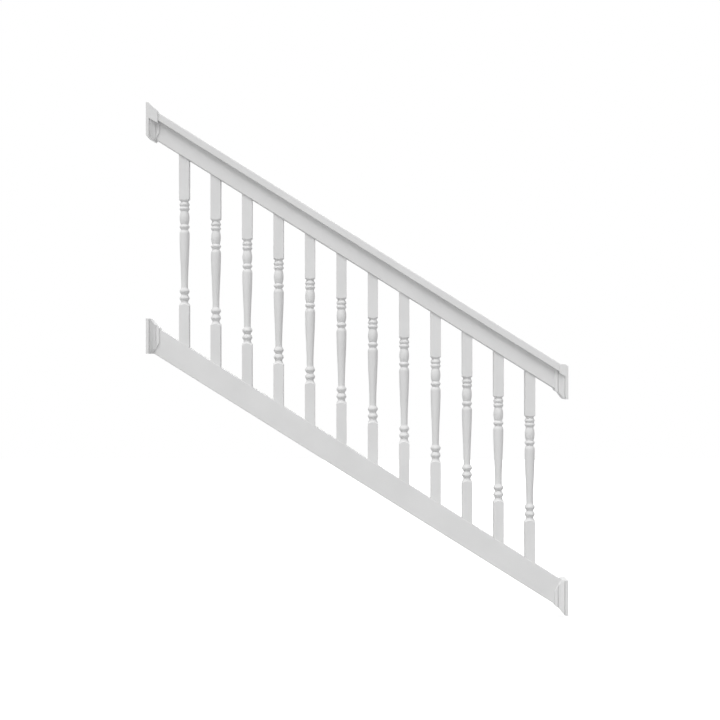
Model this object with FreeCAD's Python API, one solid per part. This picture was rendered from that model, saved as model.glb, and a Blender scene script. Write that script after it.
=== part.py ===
# Stair balustrade panel in white vinyl: a T-shaped top rail, a plain bottom rail,
# turned balusters that stand plumb between them, and four moulded brackets that
# fasten the sloping rails to two plumb posts.
# Millimetres. +X runs level and downhill, +Z is up, and the panel's front faces -Y.
# The origin is the centre of the post face of the lower bracket at the downhill end.

import FreeCAD, Part
import math
import os

# Stair pitch
RISE = 190.5
RUN = 304.8

# Rails, extruded hollow: heights are square to the slope, the length runs along it
RAIL_LENGTH = 1828.8
RAIL_HEIGHT = 88.9
RAIL_WIDTH = 50.8
RAIL_WALL = 2.5
RAIL_CORNER = 3.0
CAP_WIDTH = 88.9
CAP_HEIGHT = 25.4
CAP_CORNER = 8.0
SEAT_DEPTH = 32.0
PANEL_HEIGHT = 914.4

# Balusters: the pitch runs along the slope, the lengths along the plumb axis
BALUSTER_SIZE = 38.1
BALUSTER_PITCH = 139.7
END_MARGIN = 110.0
BOTTOM_BLOCK = 144.0
HOLE_CLEARANCE = 0.25
TOP_PLAY = 0.3

# Turned part of a baluster: lengths from neck to neck, then diameters at the necks
TURNED_LENGTH = 401.0
TOP_SHOULDER = 11.5
SHORT_BEAD = 17.7
BARREL = 47.0
COLLAR_BEAD = 20.0
VASE_SHOULDER = 17.5
RING_BEAD = 22.5
FOOT_BEAD = 26.0
FOOT_SHOULDER = 17.5
GROOVE_D = 33.0
NECK_D = 30.5
VASE_NECK_D = 28.0
VASE_FOOT_D = 26.0
BEAD_RELIEF = 0.2
VASE_BANDS = 4
TURNED_SIDES = 16

# Bracket plate: its size, and how far it reaches past the rail above and below
PLATE_WIDTH = 101.0
PLATE_THICKNESS = 11.0
PLATE_RIM = 2.5
OBTUSE_REACH = 10.0
ACUTE_REACH = 17.0
STEM_REACH = 9.5

# Moulded skirt: distances off the post, offsets from the rail, and its end (splay in degrees)
END_GAP = 3.6
QUIRK_AT = 33.5
QUIRK_WIDTH = 2.4
QUIRK_DEPTH = 2.0
SKIRT_REACH = 48.0
SKIRT_OFFSET = 5.5
LIP_WIDTH = 4.0
LIP_OFFSET = 2.5
SOCKET_CLEARANCE = 0.25
STEM_KNEE = 20.0
END_SPLAY = 31.0

# Hoods of the upper brackets, round the rail's cap: the uphill one, then the downhill one
UPHILL_HOOD = 44.0
HOOD_FLAT = 7.0
HOOD_LIP = 4.6
HOOD_DROP = 11.5
HOOD_FLARE = 3.5
DOWNHILL_HOOD = 33.0
HOOD_UNDER = 6.5

# Screw holes through a bracket's plate, inside its socket
SCREW_D = 5.5
SCREW_ACROSS = 26.0
SCREW_UPRIGHT = 40.0

# Worked out from the sizes above
SLOPE = RISE / RUN
PITCH_ANGLE = math.degrees(math.atan(SLOPE))
COS = math.cos(math.atan(SLOPE))
SIN = math.sin(math.atan(SLOPE))
PLUMB_HALF = RAIL_HEIGHT / COS / 2
PLUMB_CAP = CAP_HEIGHT / COS
SPAN = RAIL_LENGTH * COS + 2 * (PLATE_THICKNESS + END_GAP)
BOTTOM_AXIS = (OBTUSE_REACH - ACUTE_REACH) / 2
TOP_AXIS = BOTTOM_AXIS + PANEL_HEIGHT - 2 * PLUMB_HALF
BALUSTER_COUNT = 1 + int((RAIL_LENGTH - 2 * END_MARGIN) / BALUSTER_PITCH)
FAR = 2 * (SPAN + PANEL_HEIGHT)
Y_AXIS = FreeCAD.Vector(0, 1, 0)
Z_AXIS = FreeCAD.Vector(0, 0, 1)


def front(along, up):
    """A point in the panel's middle plane."""
    return FreeCAD.Vector(along, 0, up)


def plan(along, across):
    """A point in a level plane."""
    return FreeCAD.Vector(along, across, 0)


def section(across, up):
    """A point in a rail's cross-section."""
    return FreeCAD.Vector(0, across, up)


def line(start, end):
    return Part.LineSegment(start, end).toShape()


def polygon_face(points):
    """A flat face with straight edges."""
    return Part.Face(Part.makePolygon(points + points[:1]))


def rounded_face(corners):
    """A flat face from (point, radius) corners, each turned with its own arc."""
    arcs = []
    for index, (corner, radius) in enumerate(corners):
        back = (corners[index - 1][0] - corner).normalize()
        ahead = (corners[(index + 1) % len(corners)][0] - corner).normalize()
        half_turn = back.getAngle(ahead) / 2
        reach = radius / math.tan(half_turn)
        knee = (back + ahead).normalize() * (radius / math.sin(half_turn) - radius)
        arcs.append((corner + back * reach, corner + knee, corner + ahead * reach))
    edges = []
    for index, (start, knee, end) in enumerate(arcs):
        edges.append(line(arcs[index - 1][2], start))
        if start != end:
            edges.append(Part.Arc(start, knee, end).toShape())
    return Part.Face(Part.Wire(edges))


def box_face(width, bottom, top, low_radius, top_radius):
    """A rounded rectangle of a rail's section, about its centre plane."""
    half = width / 2
    return rounded_face([
        (section(-half, bottom), low_radius),
        (section(half, bottom), low_radius),
        (section(half, top), top_radius),
        (section(-half, top), top_radius),
    ])


def cell(width, bottom, top, top_radius=0):
    """A hollow of a rail's section between the given heights, inside its walls."""
    return box_face(width - 2 * RAIL_WALL, bottom, top, 0, top_radius)


def bottom_rail_section():
    half = RAIL_HEIGHT / 2
    seat = half - SEAT_DEPTH
    outside = box_face(RAIL_WIDTH, -half, half, RAIL_CORNER, RAIL_CORNER)
    pocket = cell(RAIL_WIDTH, seat, half - RAIL_WALL)
    lower = cell(RAIL_WIDTH, -half + RAIL_WALL, seat - RAIL_WALL)
    return outside.cut(Part.makeCompound([pocket, lower]))


def top_rail_section():
    half = RAIL_HEIGHT / 2
    under_cap = half - CAP_HEIGHT
    seat = -half + SEAT_DEPTH
    outside = rounded_face([
        (section(-RAIL_WIDTH / 2, -half), RAIL_CORNER),
        (section(RAIL_WIDTH / 2, -half), RAIL_CORNER),
        (section(RAIL_WIDTH / 2, under_cap), 0),
        (section(CAP_WIDTH / 2, under_cap), RAIL_CORNER),
        (section(CAP_WIDTH / 2, half), CAP_CORNER),
        (section(-CAP_WIDTH / 2, half), CAP_CORNER),
        (section(-CAP_WIDTH / 2, under_cap), RAIL_CORNER),
        (section(-RAIL_WIDTH / 2, under_cap), 0),
    ])
    inner_round = max(CAP_CORNER - RAIL_WALL, 0)
    cap = cell(CAP_WIDTH, under_cap + RAIL_WALL, half - RAIL_WALL, inner_round)
    upper = cell(RAIL_WIDTH, seat + RAIL_WALL, under_cap)
    pocket = cell(RAIL_WIDTH, -half + RAIL_WALL, seat)
    return outside.cut(Part.makeCompound([cap, upper, pocket]))


def sloped(shape, axis, along):
    """Turn a shape to the stair's pitch and set it on a rail's centre line."""
    placed = shape.copy()
    placed.rotate(FreeCAD.Vector(), Y_AXIS, PITCH_ANGLE)
    placed.translate(front(along, axis - SLOPE * along))
    return placed


def sloped_slab(axis, bottom, top):
    """Everything between two heights square to a rail, off its centre line."""
    corner = FreeCAD.Vector(-FAR / 2, -FAR / 2, bottom)
    return sloped(Part.makeBox(FAR, FAR, top - bottom, corner), axis, -SPAN / 2)


def baluster_places():
    """Level distances of the baluster axes, spaced evenly about mid-span."""
    step = BALUSTER_PITCH * COS
    first = -SPAN / 2 - step * (BALUSTER_COUNT - 1) / 2
    return [first + step * index for index in range(BALUSTER_COUNT)]


def rail(face, axis, routed_bottom, routed_top):
    """A rail cut plumb at its ends, with one of its walls routed for the balusters."""
    bar = face.extrude(FreeCAD.Vector(2 * RAIL_LENGTH, 0, 0))
    bar.translate(FreeCAD.Vector(-RAIL_LENGTH, 0, 0))
    bar = sloped(bar, axis, -SPAN / 2)
    length = RAIL_LENGTH * COS
    end = FreeCAD.Vector(-SPAN / 2 - length / 2, -FAR / 2, -FAR / 2)
    bar = bar.common(Part.makeBox(length, FAR, FAR, end))
    size = BALUSTER_SIZE + 2 * HOLE_CLEARANCE
    shafts = []
    for along in baluster_places():
        corner = FreeCAD.Vector(along - size / 2, -size / 2, -FAR / 2)
        shafts.append(Part.makeBox(size, size, FAR, corner))
    holes = Part.makeCompound(shafts).common(sloped_slab(axis, routed_bottom, routed_top))
    return bar.cut(holes)


def bottom_rail():
    half = RAIL_HEIGHT / 2
    return rail(bottom_rail_section(), BOTTOM_AXIS, half - 2 * RAIL_WALL, half + RAIL_WALL)


def top_rail():
    half = RAIL_HEIGHT / 2
    return rail(top_rail_section(), TOP_AXIS, -half - RAIL_WALL, -half + 2 * RAIL_WALL)


def turned_rings():
    """(radius, height) of each ring that the lathe cuts, from the lower shoulder up."""
    corner = BALUSTER_SIZE / math.sqrt(2) / math.cos(math.pi / TURNED_SIDES)
    crest = BALUSTER_SIZE / 2 - BEAD_RELIEF
    neck = NECK_D / 2
    groove = GROOVE_D / 2
    vase_neck = VASE_NECK_D / 2
    vase_foot = VASE_FOOT_D / 2
    rings = [(corner, -FAR / 2), (corner, 0), (neck, FOOT_SHOULDER)]

    def add_bead(length, next_neck):
        third = length / 3
        low = rings[-1][1]
        rings.append((crest, low + third))
        rings.append((crest, low + 2 * third))
        rings.append((next_neck, low + length))

    add_bead(FOOT_BEAD, vase_neck)
    add_bead(RING_BEAD, vase_foot)
    foot = rings[-1][1]
    vase_top = TURNED_LENGTH - TOP_SHOULDER - 2 * SHORT_BEAD - BARREL - COLLAR_BEAD
    vase_length = vase_top - VASE_SHOULDER - foot
    for band in range(1, VASE_BANDS + 1):
        share = band / VASE_BANDS
        swell = share * share * (3 - 2 * share)
        rings.append((vase_foot + (crest - vase_foot) * swell, foot + vase_length * share))
    rings.append((vase_neck, vase_top))
    add_bead(COLLAR_BEAD, neck)
    add_bead(BARREL, neck)
    add_bead(SHORT_BEAD, groove)
    add_bead(SHORT_BEAD, neck)
    rings.append((corner, TURNED_LENGTH))
    rings.append((corner, FAR / 2))
    return rings


def ring_points(radius, up):
    """The corners of one many-sided ring about the Z axis."""
    points = []
    for side in range(TURNED_SIDES):
        turn = 2 * math.pi * side / TURNED_SIDES
        points.append(FreeCAD.Vector(radius * math.cos(turn), radius * math.sin(turn), up))
    return points


def turned_solid():
    """The rings joined by flat facets, few enough for a panel full of balusters."""
    rings = [ring_points(*ring) for ring in turned_rings()]
    faces = [polygon_face(rings[0]), polygon_face(rings[-1])]
    for lower, upper in zip(rings, rings[1:]):
        for side in range(TURNED_SIDES):
            before = side - 1
            faces.append(polygon_face([lower[before], lower[side], upper[side], upper[before]]))
    return Part.makeSolid(Part.makeShell(faces))


def baluster():
    """A square bar turned between its end blocks and mitred to sit in both rails."""
    turning = turned_solid()
    turning.translate(front(0, BOTTOM_AXIS + PLUMB_HALF + BOTTOM_BLOCK))
    half = BALUSTER_SIZE / 2
    bar = Part.makeBox(BALUSTER_SIZE, BALUSTER_SIZE, FAR, FreeCAD.Vector(-half, -half, -FAR / 2))
    seat = RAIL_HEIGHT / 2 - SEAT_DEPTH
    stop = (TOP_AXIS - BOTTOM_AXIS) * COS - seat - TOP_PLAY
    return bar.common(sloped_slab(BOTTOM_AXIS, seat, stop)).common(turning)


def moulding(base, fall, reach):
    """Half an outline of a bracket: plate, splayed skirt, quirk and lip.

    The points are (off the post, out), and the rail's own face lies at
    base - fall * off.
    """
    def out(off, offset):
        return (off, base - fall * off + offset)

    quirk_end = QUIRK_AT + QUIRK_WIDTH
    return [
        (0, base + reach),
        (PLATE_THICKNESS, base + reach),
        (PLATE_THICKNESS, base + reach - PLATE_RIM),
        out(QUIRK_AT, SKIRT_OFFSET),
        out(QUIRK_AT, SKIRT_OFFSET - QUIRK_DEPTH),
        out(quirk_end, SKIRT_OFFSET - QUIRK_DEPTH),
        out(quirk_end, SKIRT_OFFSET),
        out(SKIRT_REACH - LIP_WIDTH, SKIRT_OFFSET),
        out(SKIRT_REACH, LIP_OFFSET),
    ]


def skirt_side(knee, acute_reach, acute_fall):
    """A bracket's outline from the front, with the rail falling away from the post.

    Its end is plumb above the knee and square to the rail below it, down to an edge
    that is level or falls with the rail.
    """
    points = moulding(PLUMB_HALF, SLOPE, OBTUSE_REACH)
    low = -PLUMB_HALF - acute_reach
    square_end = (knee - low + acute_fall * SKIRT_REACH) / (COS + acute_fall * SIN)
    points.append((SKIRT_REACH, knee))
    points.append((SKIRT_REACH - square_end * SIN, knee - square_end * COS))
    points.append((0, low))
    return polygon_face([front(*point) for point in points])


def skirt_plan():
    """A bracket's outline from above, alike on both sides."""
    near = moulding(RAIL_WIDTH / 2, 0, (PLATE_WIDTH - RAIL_WIDTH) / 2)
    far = [(off, -out) for off, out in reversed(near)]
    return polygon_face([plan(*point) for point in near + far])


def past_plate():
    """Everything on a bracket's rail side, from the plate's face on."""
    return Part.makeBox(FAR, FAR, FAR, FreeCAD.Vector(PLATE_THICKNESS, -FAR / 2, -FAR / 2))


def splay(knee, side):
    """What a skirt's square end leaves off as it splays out from one face of the rail."""
    beyond = Part.makeBox(FAR, FAR, FAR, FreeCAD.Vector(0, -FAR / 2, -FAR / 2))
    beyond.rotate(FreeCAD.Vector(), Z_AXIS, side * END_SPLAY)
    beyond.rotate(FreeCAD.Vector(), Y_AXIS, PITCH_ANGLE)
    beyond.translate(FreeCAD.Vector(SKIRT_REACH, side * (RAIL_WIDTH / 2 + LIP_OFFSET), knee))
    return beyond.common(past_plate())


def skirt(knee_drop, acute_reach, acute_fall):
    """The moulded body round a rail's upright sides, with its knee below the rail's centre line."""
    knee = -SLOPE * SKIRT_REACH - knee_drop
    side = skirt_side(knee, acute_reach, acute_fall).extrude(FreeCAD.Vector(0, FAR, 0))
    side.translate(FreeCAD.Vector(0, -FAR / 2, 0))
    above = skirt_plan().extrude(FreeCAD.Vector(0, 0, FAR))
    above.translate(FreeCAD.Vector(0, 0, -FAR / 2))
    return side.common(above).cut(splay(knee, -1)).cut(splay(knee, 1))


def socket(width, bottom, top):
    """The space that a rail's outline takes in a bracket, with its clearance."""
    half = width / 2 + SOCKET_CLEARANCE
    low = bottom - SOCKET_CLEARANCE
    height = top - bottom + 2 * SOCKET_CLEARANCE
    bar = Part.makeBox(FAR, 2 * half, height, FreeCAD.Vector(-FAR / 2, -half, low))
    bar.rotate(FreeCAD.Vector(), Y_AXIS, PITCH_ANGLE)
    return bar.common(past_plate())


def screw_holes(centre):
    """Four holes through a plate, about a height on it."""
    inward = FreeCAD.Vector(1, 0, 0)
    holes = []
    for across in (-SCREW_ACROSS / 2, SCREW_ACROSS / 2):
        for up in (-SCREW_UPRIGHT / 2, SCREW_UPRIGHT / 2):
            start = FreeCAD.Vector(-PLATE_THICKNESS, across, centre + up)
            holes.append(Part.makeCylinder(SCREW_D / 2, 3 * PLATE_THICKNESS, start, inward))
    return Part.makeCompound(holes)


def bottom_bracket():
    """A bottom rail's bracket on the uphill post, with the rail's centre line through 0."""
    half = RAIL_HEIGHT / 2
    body = skirt(0, ACUTE_REACH, 0).cut(socket(RAIL_WIDTH, -half, half))
    return body.cut(screw_holes(-SLOPE * PLATE_THICKNESS))


def hood(points):
    """A block round the rail's cap, as wide as the plate, from its outline seen from the front."""
    block = polygon_face([front(*point) for point in points]).extrude(FreeCAD.Vector(0, PLATE_WIDTH, 0))
    block.translate(FreeCAD.Vector(0, -PLATE_WIDTH / 2, 0))
    return block


def uphill_hood():
    """The hood flares from its end to the plate, above the cap and below it."""
    def under_cap(off, offset):
        return (off, PLUMB_HALF - PLUMB_CAP - SLOPE * off - offset)

    top = PLUMB_HALF + OBTUSE_REACH
    lip = (UPHILL_HOOD, PLUMB_HALF - SLOPE * UPHILL_HOOD + HOOD_LIP)
    return hood([(0, top), (HOOD_FLAT, top), lip, under_cap(UPHILL_HOOD, HOOD_DROP),
                 under_cap(0, HOOD_DROP + HOOD_FLARE)])


def downhill_hood():
    """The hood is level on top, where the cap runs out through it. Seen upside down."""
    def under_cap(off):
        return (off, -PLUMB_HALF + PLUMB_CAP + HOOD_UNDER - SLOPE * off)

    level = -PLUMB_HALF - ACUTE_REACH
    return hood([(0, -PLUMB_HALF - STEM_REACH), under_cap(0), under_cap(DOWNHILL_HOOD),
                 (DOWNHILL_HOOD, level), (PLATE_THICKNESS, level)])


def top_bracket(cap_side, cap_hood):
    """A T-rail's bracket: a skirt round its stem, and a hood round its cap."""
    half = RAIL_HEIGHT / 2
    under_cap = cap_side * (half - CAP_HEIGHT)
    cap_face = cap_side * half
    stem_face = -cap_side * half
    cap_zone = socket(CAP_WIDTH, min(under_cap, cap_face), max(under_cap, cap_face))
    stem_zone = socket(RAIL_WIDTH, min(under_cap, stem_face), max(under_cap, stem_face))
    low = min(under_cap, under_cap + cap_side * FAR)
    over = Part.makeBox(FAR, FAR, FAR, FreeCAD.Vector(-FAR / 2, -FAR / 2, low))
    over.rotate(FreeCAD.Vector(), Y_AXIS, PITCH_ANGLE)
    body = skirt(STEM_KNEE, STEM_REACH, SLOPE).cut(over).fuse(cap_hood)
    body = body.cut(cap_zone).cut(stem_zone).removeSplitter()
    stem_centre = -cap_side * PLUMB_CAP / 2 - SLOPE * PLATE_THICKNESS
    return body.cut(screw_holes(stem_centre))


def on_uphill_post(bracket, axis):
    placed = bracket.copy()
    placed.translate(front(-SPAN, axis + SLOPE * SPAN))
    return placed


def on_downhill_post(bracket, axis):
    placed = bracket.copy()
    placed.rotate(FreeCAD.Vector(), Y_AXIS, 180)
    placed.translate(front(0, axis))
    return placed


def export(shape, name):
    solids = shape.Solids
    if len(solids) != 1 or not shape.isValid():
        raise ValueError(f"{name}: {len(solids)} solids, valid {shape.isValid()}")
    solids[0].exportStep(f"parts/{name}.step")


os.makedirs("parts", exist_ok=True)
export(top_rail(), "top_rail")
export(bottom_rail(), "bottom_rail")

pattern = baluster()
for number, along in enumerate(baluster_places(), start=1):
    copy = pattern.copy()
    copy.translate(front(along, -SLOPE * along))
    export(copy, f"baluster_{number:02d}")

export(on_uphill_post(top_bracket(1, uphill_hood()), TOP_AXIS), "uphill_top_bracket")
export(on_downhill_post(top_bracket(-1, downhill_hood()), TOP_AXIS), "downhill_top_bracket")
export(on_uphill_post(bottom_bracket(), BOTTOM_AXIS), "uphill_bottom_bracket")
export(on_downhill_post(bottom_bracket(), BOTTOM_AXIS), "downhill_bottom_bracket")
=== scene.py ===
# A white vinyl stair balustrade panel, seen straight from the front against white.
# Metres, in the CAD frame: +X level and downhill, +Z up, the front faces -Y.

import math
import bmesh
import bpy
from mathutils import Matrix, Vector


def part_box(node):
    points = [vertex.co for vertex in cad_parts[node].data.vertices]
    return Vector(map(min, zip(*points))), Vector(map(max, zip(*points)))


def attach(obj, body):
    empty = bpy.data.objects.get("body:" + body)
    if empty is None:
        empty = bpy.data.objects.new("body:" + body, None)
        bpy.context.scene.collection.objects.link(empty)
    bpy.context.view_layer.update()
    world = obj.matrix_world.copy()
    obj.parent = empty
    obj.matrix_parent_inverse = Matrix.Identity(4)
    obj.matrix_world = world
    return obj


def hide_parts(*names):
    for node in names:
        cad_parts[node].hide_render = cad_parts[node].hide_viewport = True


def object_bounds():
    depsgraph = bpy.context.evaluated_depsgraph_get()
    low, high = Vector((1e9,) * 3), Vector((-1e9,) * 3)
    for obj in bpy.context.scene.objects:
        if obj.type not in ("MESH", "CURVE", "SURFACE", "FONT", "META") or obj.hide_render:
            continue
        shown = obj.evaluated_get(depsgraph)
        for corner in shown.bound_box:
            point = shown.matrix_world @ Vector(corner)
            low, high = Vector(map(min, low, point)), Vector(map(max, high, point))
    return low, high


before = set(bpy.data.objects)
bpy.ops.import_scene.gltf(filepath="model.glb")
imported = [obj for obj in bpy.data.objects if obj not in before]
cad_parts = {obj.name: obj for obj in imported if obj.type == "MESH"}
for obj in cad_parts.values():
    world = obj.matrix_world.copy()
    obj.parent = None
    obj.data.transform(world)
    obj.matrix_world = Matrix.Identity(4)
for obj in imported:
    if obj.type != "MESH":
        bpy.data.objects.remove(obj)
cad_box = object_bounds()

# Bottom rail: a plain hollow box extruded in white vinyl and sawn plumb at both ends.
# Its top wall is routed with a square hole for each baluster, and faint draw lines from
# the extrusion die run along it.
mm = 0.001
slope = 190.5 / 304.8
pitch = math.atan(slope)
rail_height = 88.9 * mm
rail_width = 50.8 * mm
rail_wall = 2.5 * mm
rail_corner = 3.0 * mm
sharp_corner = 1.0 * mm
corner_steps = 6
hole_size = 38.6 * mm
facing_same_way = 0.99
plumb_half = rail_height / math.cos(pitch) / 2
baluster_nodes = sorted(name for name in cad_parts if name.startswith("baluster"))
baluster_places = [sum(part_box(name), Vector()).x / 2 for name in baluster_nodes]
bottom_low, bottom_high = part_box("bottom_rail")
bottom_middle = (bottom_low + bottom_high) / 2


def add_node(tree, kind, **sockets):
    """A shader node with some of its sockets set or linked."""
    node = tree.nodes.new(kind)
    for socket, value in sockets.items():
        entry = node.inputs[socket.replace("_", " ")]
        if isinstance(value, bpy.types.NodeSocket):
            tree.links.new(value, entry)
        else:
            entry.default_value = value
    return node


cloud_scale = 7.0
cloud_tones = ((0.35, 0.72), (0.65, 0.75))
rough_low = 0.5
rough_high = 0.64
gloss_level = 0.1
grain_strength = 0.25
crease_angle = math.radians(30)


def white_vinyl(name, grain_stretch, grain_turn, grain_depth):
    """Satin white PVC: cloudy brightness, uneven gloss and a grain that follows the forming."""
    material = bpy.data.materials.new(name)
    material.use_nodes = True
    tree = material.node_tree
    shader = tree.nodes["Principled BSDF"]
    place = tree.nodes.new("ShaderNodeTexCoord").outputs["Object"]

    cloud = add_node(tree, "ShaderNodeTexNoise", Vector=place, Scale=cloud_scale, Detail=3.0)
    tint = add_node(tree, "ShaderNodeValToRGB", Fac=cloud.outputs["Fac"])
    for stop, (position, tone) in zip(tint.color_ramp.elements, cloud_tones):
        stop.position = position
        stop.color = (tone, tone, tone, 1)
    tree.links.new(tint.outputs["Color"], shader.inputs["Base Color"])

    turned = add_node(tree, "ShaderNodeMapping", Vector=place, Rotation=grain_turn, Scale=grain_stretch)
    grain = add_node(tree, "ShaderNodeTexNoise", Vector=turned.outputs["Vector"], Scale=1.0, Detail=2.0)
    rough = add_node(tree, "ShaderNodeMapRange", Value=grain.outputs["Fac"], To_Min=rough_low,
                     To_Max=rough_high)
    tree.links.new(rough.outputs["Result"], shader.inputs["Roughness"])
    shader.inputs["Specular IOR Level"].default_value = gloss_level

    bump = add_node(tree, "ShaderNodeBump", Strength=grain_strength, Distance=grain_depth,
                    Height=grain.outputs["Fac"])
    tree.links.new(bump.outputs["Normal"], shader.inputs["Normal"])
    return material


def shown(name, mesh, material, node):
    """The finished mesh as a piece that stands for one CAD node."""
    mesh.materials.clear()
    mesh.materials.append(material)
    mesh.shade_smooth()
    mesh.set_sharp_from_angle(angle=crease_angle)
    piece = bpy.data.objects.new(name, mesh)
    bpy.context.scene.collection.objects.link(piece)
    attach(piece, "root")
    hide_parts(node)
    facing = piece.modifiers.new("facing", "WEIGHTED_NORMAL")
    facing.keep_sharp = True
    return piece


def prism(outline, along):
    """A closed bmesh from a flat outline pushed straight along a vector."""
    bm = bmesh.new()
    face = bm.faces.new([bm.verts.new(point) for point in outline])
    pushed = bmesh.ops.extrude_face_region(bm, geom=[face])["geom"]
    moved = [part for part in pushed if isinstance(part, bmesh.types.BMVert)]
    bmesh.ops.translate(bm, verts=moved, vec=along)
    bmesh.ops.recalc_face_normals(bm, faces=bm.faces)
    return bm


def soften(bm, edges, radius):
    """Rounds the given edges."""
    bmesh.ops.bevel(bm, geom=edges, offset=radius, affect="EDGES", segments=corner_steps, profile=0.5,
                    material=-1)


def slide_edges(bm, across, up):
    """The edges of a rail blank that run along it at one place of its section."""
    found = []
    for edge in bm.edges:
        start, end = (vert.co for vert in edge.verts)
        along = abs(start.x - end.x) > abs(start.y - end.y) + abs(start.z - end.z)
        if along and abs(abs(start.y) - across) < mm and abs(start.z - up) < mm:
            found.append(edge)
    return found


def rail_skin(section, rounds, middle, ends, routed_side):
    """The outside of a rail on the stair's slope, open at its ends and at the baluster holes.

    rounds holds (across, up, radius) for the edges to round, and routed_side is the
    direction of the routed wall, up or down, square to the rail.
    """
    length = 2 * (ends[1] - ends[0])
    bm = prism([(-length / 2, across, up) for across, up in section], (length, 0, 0))
    for across, up, radius in rounds:
        soften(bm, slide_edges(bm, across, up), radius)
    bmesh.ops.rotate(bm, verts=bm.verts, matrix=Matrix.Rotation(pitch, 3, "Y"))
    bmesh.ops.translate(bm, verts=bm.verts, vec=middle)
    for end, outward in zip(ends, (-1, 1)):
        bmesh.ops.bisect_plane(bm, geom=bm.verts[:] + bm.edges[:] + bm.faces[:], plane_co=(end, 0, 0),
                               plane_no=(outward, 0, 0), clear_outer=True)
    routed = Vector((math.sin(pitch), 0, math.cos(pitch))) * routed_side
    reach = routed.dot(middle) + rail_height / 2
    cuts = [(Vector((0, side * hole_size / 2, 0)), Vector((0, 1, 0))) for side in (-1, 1)]
    for place in baluster_places:
        for side in (-1, 1):
            cuts.append((Vector((place + side * hole_size / 2, 0, 0)), Vector((1, 0, 0))))

    def on_routed_wall(face):
        level = face.calc_center_median().dot(routed)
        return face.normal.dot(routed) > facing_same_way and abs(level - reach) < mm

    for point, normal in cuts:
        wall = [face for face in bm.faces if on_routed_wall(face)]
        rim = list({part for face in wall for part in face.edges[:] + face.verts[:]})
        bmesh.ops.bisect_plane(bm, geom=wall + rim, plane_co=point, plane_no=normal)
    holes = []
    for face in bm.faces:
        centre = face.calc_center_median()
        over_hole = any(abs(centre.x - place) < hole_size / 2 for place in baluster_places)
        if on_routed_wall(face) and over_hole and abs(centre.y) < hole_size / 2:
            holes.append(face)
    bmesh.ops.delete(bm, geom=holes, context="FACES")
    return bm


def scratch_object(bm):
    """A bmesh as a plain object to work on, which is removed once it is used."""
    mesh = bpy.data.meshes.new("scratch")
    bm.to_mesh(mesh)
    bm.free()
    thing = bpy.data.objects.new("scratch", mesh)
    bpy.context.scene.collection.objects.link(thing)
    return thing


def rail_piece(name, bm, material):
    """A rail's skin given the extrusion's wall."""
    skin = scratch_object(bm)
    wall = skin.modifiers.new("wall", "SOLIDIFY")
    wall.thickness = rail_wall
    wall.offset = -1
    wall.use_even_offset = True
    mesh = bpy.data.meshes.new_from_object(skin.evaluated_get(bpy.context.evaluated_depsgraph_get()))
    bpy.data.objects.remove(skin)
    shown(name + "_extrusion", mesh, material, name)


rail_vinyl = white_vinyl("extruded_vinyl", grain_stretch=(3.0, 900.0, 900.0), grain_turn=(0, -pitch, 0),
                         grain_depth=0.2 * mm)
half_height = rail_height / 2
half_width = rail_width / 2
bottom_section = [(-half_width, -half_height), (half_width, -half_height),
                  (half_width, half_height), (-half_width, half_height)]
bottom_rounds = [(half_width, -half_height, rail_corner), (half_width, half_height, sharp_corner)]
bottom_skin = rail_skin(bottom_section, bottom_rounds, bottom_middle, (bottom_low.x, bottom_high.x), 1)
rail_piece("bottom_rail", bottom_skin, rail_vinyl)

# Top rail: a hollow T extruded in the same vinyl, a wide cap with rounded shoulders over a
# stem as wide as the bottom rail. The balusters go up through holes in the stem's underside.
cap_width = 88.9 * mm
cap_height = 25.4 * mm
cap_corner = 5.0 * mm
top_low, top_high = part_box("top_rail")
top_middle = (top_low + top_high) / 2
half_cap = cap_width / 2
under_cap = half_height - cap_height
top_section = [(-half_width, -half_height), (half_width, -half_height), (half_width, under_cap),
               (half_cap, under_cap), (half_cap, half_height), (-half_cap, half_height),
               (-half_cap, under_cap), (-half_width, under_cap)]
top_rounds = [(half_width, -half_height, rail_corner), (half_cap, under_cap, sharp_corner),
              (half_cap, half_height, cap_corner)]
top_skin = rail_skin(top_section, top_rounds, top_middle, (top_low.x, top_high.x), -1)
rail_piece("top_rail", top_skin, rail_vinyl)

# Balusters: square vinyl bars turned between their end blocks, with two short beads, a
# barrel and a collar over a long vase, and a ring and a foot bead under it. Their mitred
# ends stand in the routed holes of both rails.
bar_size = 38.1 * mm
bar_corner = 1.0 * mm
bar_corner_steps = 4
bar_bottom_block = 144.0 * mm
turned_length = 404.0 * mm
bar_seat = 12.45 * mm
bar_stop_play = 0.3 * mm
lathe_steps = 64
weld_distance = 0.001 * mm
crest = bar_size / 2 - 0.1 * mm
barrel_crest = 18.4 * mm
shoulder_radius = bar_size / math.sqrt(2) + 0.5 * mm
foot_neck = 13.5 * mm
ring_neck = 12.4 * mm
vase_foot = 12.7 * mm
vase_neck = 12.9 * mm
barrel_neck = 14.3 * mm
groove = 15.8 * mm
foot_cove = 18.5 * mm
foot_bead = (11.5 * mm, 13.5 * mm)
ring_bead = (13.0 * mm, 13.5 * mm)
vase_length = 204.0 * mm
vase_shoulder = 14.5 * mm
collar_bead = (11.5 * mm, 8.5 * mm)
half_barrel = 24.5 * mm
lower_bead = (10.0 * mm, 7.5 * mm)
upper_bead = (8.0 * mm, 10.5 * mm)
bead_fullness = 0.7
bead_steps = 8
cove_steps = 10
vase_steps = 24


def ease(share):
    """An S from 0 to 1, flat at both ends."""
    return share * share * (3 - 2 * share)


def cove(share):
    """A hollow from 0 to 1, steep at first and flat at the end."""
    return 1 - (1 - share) ** 2


def round_over(share):
    """A round from 0 to 1, flat at first and steep at the end."""
    return share ** 2


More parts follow.
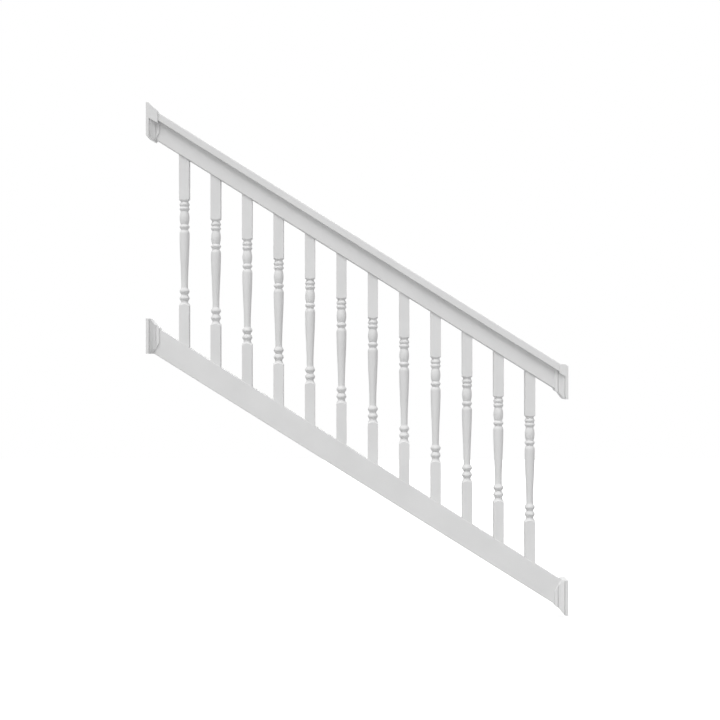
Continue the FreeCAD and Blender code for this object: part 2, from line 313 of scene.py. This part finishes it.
def sweep(profile, length, radius, form, steps):
    """Goes on from the profile's last point to a new radius by one of the forms."""
    start_radius, start = profile[-1]
    for step in range(1, steps + 1):
        share = step / steps
        profile.append((start_radius + (radius - start_radius) * form(share), start + length * share))


def bead(profile, lengths, high_neck):
    """A ring that swells from one neck to a full crest and falls to the next."""
    sweep(profile, lengths[0], crest, lambda share: ease(share) ** bead_fullness, bead_steps)
    sweep(profile, lengths[1], high_neck, lambda share: 1 - ease(1 - share) ** bead_fullness, bead_steps)


def turned_profile():
    """(radius, height) up the baluster, from below its lower block to above its upper one."""
    profile = [(0.0, -turned_length), (shoulder_radius, -turned_length), (shoulder_radius, 0.0)]
    sweep(profile, foot_cove, foot_neck, cove, cove_steps)
    bead(profile, foot_bead, ring_neck)
    bead(profile, ring_bead, vase_foot)
    sweep(profile, vase_length, crest, ease, vase_steps)
    sweep(profile, vase_shoulder, vase_neck, round_over, bead_steps)
    bead(profile, collar_bead, barrel_neck)
    sweep(profile, half_barrel, barrel_crest, cove, cove_steps)
    sweep(profile, half_barrel, barrel_neck, round_over, cove_steps)
    bead(profile, lower_bead, groove)
    bead(profile, upper_bead, barrel_neck)
    sweep(profile, turned_length - profile[-1][1], shoulder_radius, round_over, bead_steps)
    profile.append((shoulder_radius, 2 * turned_length))
    profile.append((0.0, 2 * turned_length))
    return profile


def carve(body, tool, operation):
    """Cuts, joins or intersects a scratch object with another one, which is used up."""
    boolean = body.modifiers.new("carve", "BOOLEAN")
    boolean.operation = operation
    boolean.solver = "EXACT"
    boolean.object = tool
    carved = bpy.data.meshes.new_from_object(body.evaluated_get(bpy.context.evaluated_depsgraph_get()))
    body.modifiers.remove(boolean)
    body.data = carved
    bpy.data.objects.remove(tool)
    return body


def finished_mesh(body):
    """The mesh of a scratch object, which is used up."""
    mesh = body.data
    bpy.data.objects.remove(body)
    return mesh


def turned_baluster():
    """One baluster, with the bottom rail's centre line through its axis at the origin."""
    lathe = bmesh.new()
    verts = [lathe.verts.new((radius, 0, up)) for radius, up in turned_profile()]
    edges = [lathe.edges.new(pair) for pair in zip(verts, verts[1:])]
    bmesh.ops.spin(lathe, geom=verts + edges, cent=(0, 0, 0), axis=(0, 0, 1), angle=2 * math.pi,
                   steps=lathe_steps, use_merge=True)
    bmesh.ops.remove_doubles(lathe, verts=lathe.verts, dist=weld_distance)
    bmesh.ops.recalc_face_normals(lathe, faces=lathe.faces)
    bmesh.ops.translate(lathe, verts=lathe.verts, vec=(0, 0, plumb_half + bar_bottom_block))

    bar = bmesh.new()
    bmesh.ops.create_cube(bar, size=1)
    bmesh.ops.scale(bar, verts=bar.verts, vec=(bar_size, bar_size, 4 * turned_length))
    uprights = [edge for edge in bar.edges if abs(edge.verts[0].co.z - edge.verts[1].co.z) > turned_length]
    bmesh.ops.bevel(bar, geom=uprights, offset=bar_corner, affect="EDGES", segments=bar_corner_steps,
                    profile=0.5, material=-1)
    square = Vector((math.sin(pitch), 0, math.cos(pitch)))
    rise = (top_middle - bottom_middle).dot(square)
    for height, outward in ((bar_seat, -1), (rise - bar_seat - bar_stop_play, 1)):
        bmesh.ops.bisect_plane(bar, geom=bar.verts[:] + bar.edges[:] + bar.faces[:], plane_co=square * height,
                               plane_no=square * outward, clear_outer=True)
        bmesh.ops.holes_fill(bar, edges=[edge for edge in bar.edges if edge.is_boundary])
    return finished_mesh(carve(scratch_object(bar), scratch_object(lathe), "INTERSECT"))


baluster_vinyl = white_vinyl("turned_vinyl", grain_stretch=(500.0, 500.0, 160.0), grain_turn=(0, 0, 0),
                             grain_depth=0.1 * mm)
pattern = turned_baluster()
for node, place in zip(baluster_nodes, baluster_places):
    mesh = pattern.copy()
    height = bottom_middle.z - slope * (place - bottom_middle.x)
    mesh.transform(Matrix.Translation((place, 0, height)))
    shown(node.replace("baluster", "turned_baluster"), mesh, baluster_vinyl, node)

# Lower brackets: moulded vinyl sockets that hold the bottom rail to the posts. Each has a
# plate with four screw holes, a skirt that falls to the rail between two fine quirks, and a
# rounded lip. Under its knee the skirt ends square to the rail, and this end is splayed.
plate_thickness = 11.0 * mm
plate_width = 101.0 * mm
plate_edge = 1.5 * mm
plate_rim = 2.5 * mm
obtuse_reach = 10.0 * mm
acute_reach = 17.0 * mm
skirt_offset = 5.5 * mm
skirt_hollow = 2.5 * mm
quirk_at = 33.5 * mm
quirk_width = 3.4 * mm
quirk_depth = 3.2 * mm
quirk_slant = quirk_width / 4
lip_width = 6.0 * mm
lip_offset = 2.0 * mm
skirt_reach = 48.0 * mm
knee_round = 9.0 * mm
end_splay = math.radians(31)
socket_clearance = 0.25 * mm
screw_radius = 2.75 * mm
screw_across = 26.0 * mm
screw_upright = 40.0 * mm
screw_sides = 24
far = 1.0


def bend(start, corner, end, steps=6):
    """A curve that leaves one point towards a corner and arrives at another."""
    points = []
    for step in range(steps + 1):
        share = step / steps
        points.append(tuple(
            a * (1 - share) ** 2 + 2 * b * share * (1 - share) + c * share ** 2
            for a, b, c in zip(start, corner, end)
        ))
    return points


def moulding(base, fall, reach, hollow):
    """Half an outline of a bracket as (off the post, out), with the rail's face at base - fall * off."""
    rim = base + reach

    def out(off, offset):
        return (off, base - fall * off + offset)

    top = (plate_thickness + quirk_width, rim - plate_rim)
    foot = out(quirk_at, skirt_offset)
    middle = ((top[0] + foot[0]) / 2, (top[1] + foot[1]) / 2 - hollow)
    points = [(0, rim)]
    points += bend((plate_thickness - plate_edge, rim), (plate_thickness, rim),
                   (plate_thickness, rim - plate_edge))
    points.append((plate_thickness, rim - plate_rim - quirk_depth))
    points.append((plate_thickness + 2 * quirk_slant, rim - plate_rim - quirk_depth))
    points += bend(top, middle, foot)
    points.append(out(quirk_at + quirk_slant, skirt_offset - quirk_depth))
    points.append(out(quirk_at + quirk_width - quirk_slant, skirt_offset - quirk_depth))
    points.append(out(quirk_at + quirk_width, skirt_offset))
    points += bend(out(skirt_reach - lip_width, skirt_offset), out(skirt_reach, skirt_offset),
                   out(skirt_reach, lip_offset))
    return points


def past_plate(bm):
    """The part of a block on the rail's side of the plate, to cut with."""
    bmesh.ops.bisect_plane(bm, geom=bm.verts[:] + bm.edges[:] + bm.faces[:], plane_co=(plate_thickness, 0, 0),
                           plane_no=(-1, 0, 0), clear_outer=True)
    bmesh.ops.holes_fill(bm, edges=[edge for edge in bm.edges if edge.is_boundary])
    bmesh.ops.recalc_face_normals(bm, faces=bm.faces)
    return scratch_object(bm)


def splay(knee, side):
    """What the skirt's square end leaves off as it splays out from one face of the rail."""
    bm = bmesh.new()
    bmesh.ops.create_cube(bm, size=far)
    bmesh.ops.translate(bm, verts=bm.verts, vec=(far / 2, 0, 0))
    turn = Matrix.Rotation(pitch, 3, "Y") @ Matrix.Rotation(side * end_splay, 3, "Z")
    bmesh.ops.rotate(bm, verts=bm.verts, matrix=turn)
    bmesh.ops.translate(bm, verts=bm.verts, vec=(skirt_reach, side * (rail_width / 2 + lip_offset), knee))
    return past_plate(bm)


def skirt(knee_drop, low_reach, low_fall):
    """The moulded body on an uphill post, with the rail's centre line through the origin.

    Its end is plumb above the knee and square to the rail below it, down to an edge that is
    level or falls with the rail.
    """
    low = -plumb_half - low_reach
    knee = -slope * skirt_reach - knee_drop
    square_end = (knee - low + low_fall * skirt_reach) / (math.cos(pitch) + low_fall * math.sin(pitch))

    def below_knee(length):
        return (skirt_reach - length * math.sin(pitch), knee - length * math.cos(pitch))

    side = moulding(plumb_half, slope, obtuse_reach, hollow=0)
    side += bend((skirt_reach, knee + knee_round), (skirt_reach, knee), below_knee(knee_round))
    side += [below_knee(square_end), (0, low)]
    plan = moulding(rail_width / 2, 0, (plate_width - rail_width) / 2, hollow=skirt_hollow)
    plan += [(off, -out) for off, out in reversed(plan)]
    body = scratch_object(prism([(off, -far / 2, up) for off, up in side], (0, far, 0)))
    outline = scratch_object(prism([(off, across, -far / 2) for off, across in plan], (0, 0, far)))
    body = carve(body, outline, "INTERSECT")
    for face_side in (-1, 1):
        body = carve(body, splay(knee, face_side), "DIFFERENCE")
    return body


def socket(width, low, high):
    """The room for a rail, from the plate outwards, square to its slope."""
    room = Vector((far, width + 2 * socket_clearance, high - low + 2 * socket_clearance))
    bm = bmesh.new()
    bmesh.ops.create_cube(bm, size=1)
    bmesh.ops.scale(bm, verts=bm.verts, vec=room)
    bmesh.ops.translate(bm, verts=bm.verts, vec=(0, 0, (low + high) / 2))
    bmesh.ops.rotate(bm, verts=bm.verts, matrix=Matrix.Rotation(pitch, 3, "Y"))
    return past_plate(bm)


def drill(body, centre):
    """Four screw holes through the plate."""
    bm = bmesh.new()
    lying = Matrix.Rotation(math.pi / 2, 4, "Y")
    for across in (-screw_across / 2, screw_across / 2):
        for up in (-screw_upright / 2, screw_upright / 2):
            place = Matrix.Translation((plate_thickness / 2, across, centre + up))
            bmesh.ops.create_cone(bm, cap_ends=True, segments=screw_sides, radius1=screw_radius,
                                  radius2=screw_radius, depth=2 * plate_thickness, matrix=place @ lying)
    return carve(body, scratch_object(bm), "DIFFERENCE")


def on_post(mesh, node, middle):
    """Moves a bracket from the origin to the post that its CAD node is on."""
    low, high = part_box(node)
    if node.startswith("downhill"):
        mesh.transform(Matrix.Rotation(math.pi, 4, "Y"))
    face = high.x if node.startswith("downhill") else low.x
    mesh.transform(Matrix.Translation((face, 0, middle.z - slope * (face - middle.x))))
    return mesh


bracket_vinyl = white_vinyl("moulded_vinyl", grain_stretch=(350.0, 350.0, 350.0), grain_turn=(0, 0, 0),
                            grain_depth=0.1 * mm)
for node in ("uphill_bottom_bracket", "downhill_bottom_bracket"):
    body = skirt(knee_drop=0, low_reach=acute_reach, low_fall=0)
    body = carve(body, socket(rail_width, -half_height, half_height), "DIFFERENCE")
    body = drill(body, -slope * plate_thickness)
    mesh = on_post(finished_mesh(body), node, bottom_middle)
    shown(node.replace("bracket", "socket"), mesh, bracket_vinyl, node)

# Upper brackets: the same moulding round the T-rail's stem, and a block-like hood round its
# cap, as wide as the plate. The uphill hood slopes up to the plate. The downhill one has a
# level top, and the cap runs out through it.
stem_reach = 9.5 * mm
stem_knee = 20.0 * mm
uphill_reach = 44.0 * mm
hood_flat = 7.0 * mm
hood_lip = 4.6 * mm
hood_drop = 11.5 * mm
hood_flare = 3.5 * mm
downhill_reach = 33.0 * mm
hood_under = 6.5 * mm
hood_edge = 2.0 * mm
hood_edge_steps = 3
plumb_cap = cap_height / math.cos(pitch)


def hood(points):
    """A block round the cap with soft edges, from its outline seen from the front."""
    bm = prism([(off, -plate_width / 2, up) for off, up in points], (0, plate_width, 0))
    outer = [edge for edge in bm.edges if max(vert.co.x for vert in edge.verts) > mm]
    bmesh.ops.bevel(bm, geom=outer, offset=hood_edge, affect="EDGES", segments=hood_edge_steps, profile=0.5,
                    material=-1)
    return scratch_object(bm)


def uphill_hood():
    top = plumb_half + obtuse_reach
    under = plumb_half - plumb_cap - hood_drop
    return hood([
        (0, top),
        (hood_flat, top),
        (uphill_reach, plumb_half - slope * uphill_reach + hood_lip),
        (uphill_reach, under - slope * uphill_reach),
        (0, under - hood_flare),
    ])


def downhill_hood():
    under = -plumb_half + plumb_cap + hood_under
    level = -plumb_half - acute_reach
    return hood([
        (0, -plumb_half - stem_reach),
        (0, under),
        (downhill_reach, under - slope * downhill_reach),
        (downhill_reach, level),
        (plate_thickness, level),
    ])


def stem_only(body, cap_side):
    """Cuts away the part of a skirt that is past the underside of the cap."""
    bm = bmesh.new()
    bm.from_mesh(body.data)
    square = Vector((math.sin(pitch), 0, math.cos(pitch))) * cap_side
    bmesh.ops.bisect_plane(bm, geom=bm.verts[:] + bm.edges[:] + bm.faces[:], plane_co=square * under_cap,
                           plane_no=square, clear_outer=True)
    bmesh.ops.holes_fill(bm, edges=[edge for edge in bm.edges if edge.is_boundary])
    bm.to_mesh(body.data)
    bm.free()
    return body


uphill = ("uphill_top_bracket", 1, uphill_hood)
downhill = ("downhill_top_bracket", -1, downhill_hood)
for node, cap_side, cap_hood in (uphill, downhill):
    body = stem_only(skirt(knee_drop=stem_knee, low_reach=stem_reach, low_fall=slope), cap_side)
    body = carve(body, cap_hood(), "UNION")
    cap_span = sorted((cap_side * under_cap, cap_side * half_height))
    stem_span = sorted((cap_side * under_cap, -cap_side * half_height))
    body = carve(body, socket(cap_width, *cap_span), "DIFFERENCE")
    body = carve(body, socket(rail_width, *stem_span), "DIFFERENCE")
    body = drill(body, -cap_side * plumb_cap / 2 - slope * plate_thickness)
    mesh = on_post(finished_mesh(body), node, top_middle)
    shown(node.replace("bracket", "socket"), mesh, bracket_vinyl, node)

# Studio: a pale floor and a white surround that is brighter round the horizon than overhead,
# with one soft lamp high up at the front left and a weaker one behind. The lamps are far
# enough off to light the whole panel evenly. The camera sees the surround as plain white.
surround_low = 0.69
surround_high = 0.12
floor_half = 8.0
floor_drop = 20.0 * mm
floor_tone = 0.58
floor_glow = 0.74


def seen_white(tree):
    """1 for the rays that are to see plain white: the camera's, and those in reflections."""
    path = tree.nodes.new("ShaderNodeLightPath")
    seen = path.outputs["Is Camera Ray"]
    for kind in ("Is Glossy Ray", "Is Transmission Ray"):
        either = tree.nodes.new("ShaderNodeMath")
        either.operation = "MAXIMUM"
        tree.links.new(seen, either.inputs[0])
        tree.links.new(path.outputs[kind], either.inputs[1])
        seen = either.outputs[0]
    return seen


scene = bpy.context.scene
scene.view_settings.view_transform = "Standard"
world = bpy.data.worlds.new("studio")
scene.world = world
world.use_nodes = True
sky = world.node_tree
direction = sky.nodes.new("ShaderNodeTexCoord").outputs["Generated"]
height = add_node(sky, "ShaderNodeSeparateXYZ", Vector=direction).outputs["Z"]
strength = add_node(sky, "ShaderNodeMapRange", Value=height, To_Min=surround_low, To_Max=surround_high)
fill = add_node(sky, "ShaderNodeBackground", Color=(1, 1, 1, 1), Strength=strength.outputs["Result"])
white = add_node(sky, "ShaderNodeBackground", Color=(1, 1, 1, 1), Strength=1.0)
mixed = sky.nodes.new("ShaderNodeMixShader")
sky.links.new(seen_white(sky), mixed.inputs["Fac"])
sky.links.new(fill.outputs[0], mixed.inputs[1])
sky.links.new(white.outputs[0], mixed.inputs[2])
sky.links.new(mixed.outputs[0], sky.nodes["World Output"].inputs["Surface"])

floor_mesh = bpy.data.meshes.new("floor")
floor_bm = bmesh.new()
bmesh.ops.create_grid(floor_bm, x_segments=1, y_segments=1, size=floor_half)
bmesh.ops.translate(floor_bm, verts=floor_bm.verts, vec=(0, 0, cad_box[0].z - floor_drop))
floor_bm.to_mesh(floor_mesh)
floor_bm.free()
floor = bpy.data.objects.new("floor", floor_mesh)
scene.collection.objects.link(floor)
floor_paint = bpy.data.materials.new("pale_floor")
floor_paint.use_nodes = True
tree = floor_paint.node_tree
matte = add_node(tree, "ShaderNodeBsdfDiffuse", Color=(floor_tone, floor_tone, floor_tone, 1))
level = tree.nodes.new("ShaderNodeMath")
level.operation = "MULTIPLY"
level.inputs[1].default_value = floor_glow
tree.links.new(seen_white(tree), level.inputs[0])
glow = add_node(tree, "ShaderNodeEmission", Color=(1, 1, 1, 1), Strength=level.outputs[0])
lit = tree.nodes.new("ShaderNodeAddShader")
tree.links.new(matte.outputs[0], lit.inputs[0])
tree.links.new(glow.outputs[0], lit.inputs[1])
tree.links.new(lit.outputs[0], tree.nodes["Material Output"].inputs["Surface"])
floor_mesh.materials.append(floor_paint)


def soft_lamp(name, turn, height, spread, strength):
    """A far lamp as wide as its spread; turn and height are angles off the panel's front, in degrees."""
    lamp = bpy.data.lights.new(name, "SUN")
    lamp.angle = math.radians(spread)
    lamp.energy = strength
    rig = bpy.data.objects.new(name, lamp)
    rig.rotation_euler = (math.radians(90 - height), 0, math.radians(turn))
    scene.collection.objects.link(rig)


soft_lamp("high_front", turn=-20, height=59, spread=44, strength=2.4)
soft_lamp("low_back", turn=180, height=20, spread=30, strength=0.6)

# Camera: level, straight on and without roll, about five metres off, as in the photo.
camera = bpy.data.cameras.new("camera")
camera.sensor_width = 36
camera.lens = 66.5
view = bpy.data.objects.new("camera", camera)
view.location = (-0.7792, -5.023, 0.891)
view.rotation_euler = (math.pi / 2, 0, 0)
scene.collection.objects.link(view)
scene.camera = view
